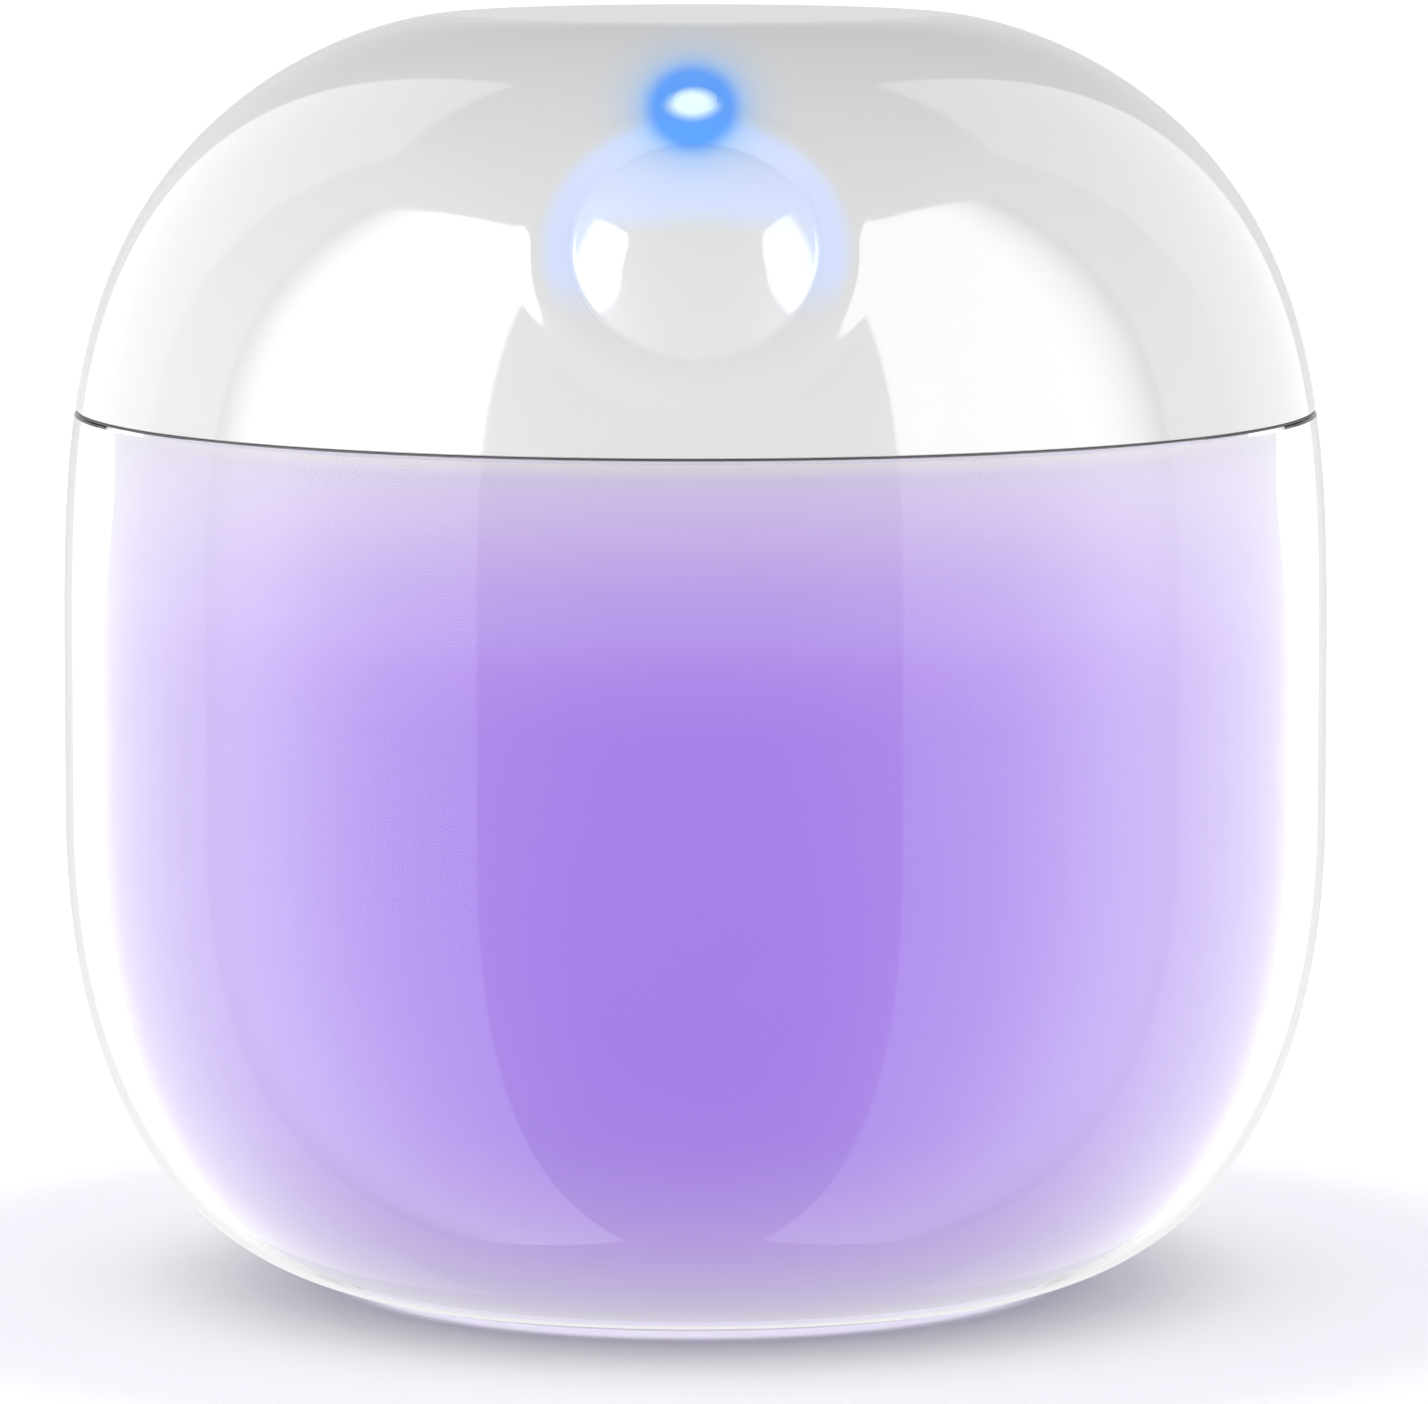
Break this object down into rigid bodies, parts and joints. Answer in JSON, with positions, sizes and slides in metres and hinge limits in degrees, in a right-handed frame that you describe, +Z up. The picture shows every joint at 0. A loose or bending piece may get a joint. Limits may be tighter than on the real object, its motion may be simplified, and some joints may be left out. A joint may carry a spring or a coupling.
{
  "type": "pacifier sterilizer case",
  "caption": "Rounded free-standing case with a clear chamber bowl and a hinged white lid that holds ultraviolet lamps, a push button and an indicator light.",
  "frame": {"origin": "middle of the flat foot, on the surface that the case stands on", "axes": "+Z up the turning axis of the case, -Y towards the push button, +Y towards the hinge, +X to the right seen from the front"},
  "size_m": [0.068, 0.0701, 0.0684],
  "materials": {
    "white_gloss": "glossy white moulded plastic",
    "white_satin": "satin white moulded plastic",
    "clear_plastic": "clear polished plastic",
    "violet_cup": "translucent liner lit violet by the lamps",
    "soft_grey": "soft translucent silicone",
    "dark_seal": "dark silicone seal",
    "steel": "plated steel",
    "magnet": "nickel-plated magnet",
    "quartz": "polished quartz",
    "white_board": "white solder mask on an aluminium core",
    "green_board": "green solder mask",
    "lamp_package": "ceramic lamp package",
    "chip": "black moulded package",
    "foil": "silver pouch foil",
    "foam": "dark foam",
    "blue_light": "clear light pipe, lit blue",
    "button_white": "glossy white moulded plastic",
    "switch_black": "black moulded plastic"
  },
  "bodies": {
    "base": {"base_shell": "clear_plastic", "foot_pad": "soft_grey", "chamber_cup": "violet_cup", "base_rim": "white_satin", "hinge_pin": "steel", "base_magnet_left": "magnet", "base_magnet_right": "magnet"},
    "lid": {"lid_shell": "white_gloss", "lid_liner": "white_satin", "lid_gasket": "dark_seal", "uvc_window": "quartz", "uvc_board": "white_board", "uvc_lamp_1": "lamp_package", "uvc_lamp_2": "lamp_package", "uvc_lamp_3": "lamp_package", "uvc_lamp_4": "lamp_package", "lamp_board_screw_left": "steel", "lamp_board_screw_right": "steel", "control_board": "green_board", "board_screw_1": "steel", "board_screw_2": "steel", "board_screw_3": "steel", "control_chip": "chip", "lid_sensor": "chip", "battery": "foil", "battery_pad": "foam", "usb_c_socket": "steel", "indicator_lamp": "blue_light", "light_pipe": "blue_light", "tact_switch": "switch_black", "button_board": "green_board", "button_board_screw_left": "steel", "button_board_screw_right": "steel", "lid_magnet_left": "magnet", "lid_magnet_right": "magnet", "liner_screw_1": "steel", "liner_screw_2": "steel", "liner_screw_3": "steel", "liner_screw_4": "steel"},
    "button": {"power_button": "button_white", "switch_stem": "switch_black"}
  },
  "joints": [
    {"name": "lid_hinge", "type": "hinge", "parent": "base", "child": "lid", "pos_m": [0, 0.034, 0.0473], "axis": [-1, 0, 0], "range_deg": [0, 110]},
    {"name": "button_press", "type": "slide", "parent": "lid", "child": "button", "axis": [0, 0.8407, -0.5416], "range_m": [0, 0.0005], "stiffness_N_per_m": 2000, "springref_m": -0.0003}
  ]
}
